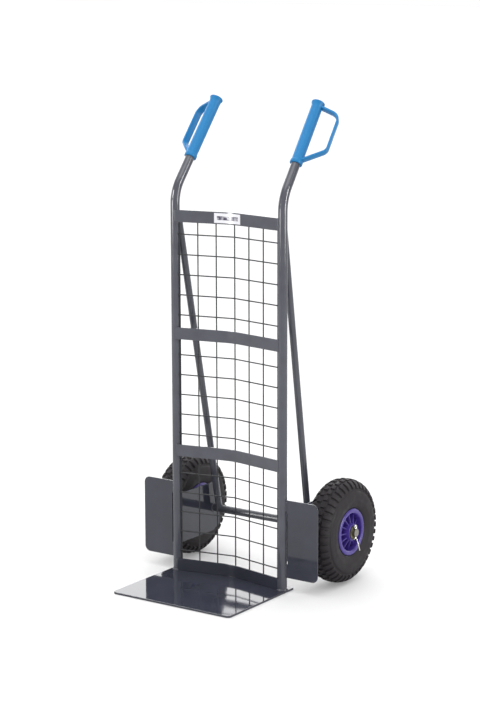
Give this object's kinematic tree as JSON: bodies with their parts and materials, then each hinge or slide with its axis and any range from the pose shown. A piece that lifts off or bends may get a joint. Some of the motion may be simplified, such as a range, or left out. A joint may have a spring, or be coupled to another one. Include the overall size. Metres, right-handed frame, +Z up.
{
  "type": "hand truck",
  "caption": "Upright steel hand truck with a wire mesh back between bent tube stiles, a flat toe plate, guarded handgrips and air-filled wheels on one axle.",
  "frame": {"origin": "on the ground under the toe plate, midway between the stiles and in the plane of their centre lines", "axes": "+X to the right hand side, +Y back towards the wheels, +Z up"},
  "size_m": [0.5642, 0.5325, 1.1873],
  "materials": {
    "frame_paint": "gloss powder coat, slate grey",
    "plate_paint": "high gloss powder coat, slate grey",
    "mesh_paint": "satin powder coat, dark slate grey",
    "axle_steel": "gloss paint, bright zinc at the ends",
    "grip_plastic": "moulded, satin blue",
    "label_film": "white film, blank",
    "tyre_rubber": "moulded block tread",
    "tube_rubber": "smooth",
    "rim_plastic": "moulded polypropylene, violet",
    "zinc_steel": "zinc plated",
    "bearing_steel": "ground",
    "valve_brass": "turned",
    "cap_plastic": "moulded black"
  },
  "bodies": {
    "frame": {"stile_left": "frame_paint", "stile_right": "frame_paint", "top_bar": "frame_paint", "upper_bar": "frame_paint", "lower_bar": "frame_paint", "bottom_bar": "frame_paint", "mesh_uprights": "mesh_paint", "mesh_rungs": "mesh_paint", "label_plate": "label_film", "toe_plate": "plate_paint", "wheel_guard_left": "plate_paint", "wheel_guard_right": "plate_paint", "axle_bracket_left": "plate_paint", "axle_bracket_right": "plate_paint", "brace_left": "frame_paint", "brace_right": "frame_paint", "axle": "axle_steel", "grip_left": "grip_plastic", "grip_right": "grip_plastic", "spacer_left": "zinc_steel", "spacer_right": "zinc_steel", "inner_washer_left": "zinc_steel", "inner_washer_right": "zinc_steel", "outer_washer_left": "zinc_steel", "outer_washer_right": "zinc_steel", "split_pin_left": "zinc_steel", "split_pin_right": "zinc_steel"},
    "wheel_left": {"tyre_left": "tyre_rubber", "inner_tube_left": "tube_rubber", "rim_outer_left": "rim_plastic", "rim_inner_left": "rim_plastic", "rim_screws_left": "zinc_steel", "valve_stem_left": "valve_brass", "valve_cap_left": "cap_plastic", "outer_bearing_left": "bearing_steel", "inner_bearing_left": "bearing_steel", "hub_sleeve_left": "bearing_steel"},
    "wheel_right": {"tyre_right": "tyre_rubber", "inner_tube_right": "tube_rubber", "rim_outer_right": "rim_plastic", "rim_inner_right": "rim_plastic", "rim_screws_right": "zinc_steel", "valve_stem_right": "valve_brass", "valve_cap_right": "cap_plastic", "outer_bearing_right": "bearing_steel", "inner_bearing_right": "bearing_steel", "hub_sleeve_right": "bearing_steel"}
  },
  "joints": [
    {"name": "wheel_left_spin", "type": "hinge", "parent": "frame", "child": "wheel_left", "pos_m": [-0.2287, 0.1535, 0.13], "axis": [1, 0, 0], "continuous": true},
    {"name": "wheel_right_spin", "type": "hinge", "parent": "frame", "child": "wheel_right", "pos_m": [0.2287, 0.1535, 0.13], "axis": [1, 0, 0], "continuous": true}
  ]
}
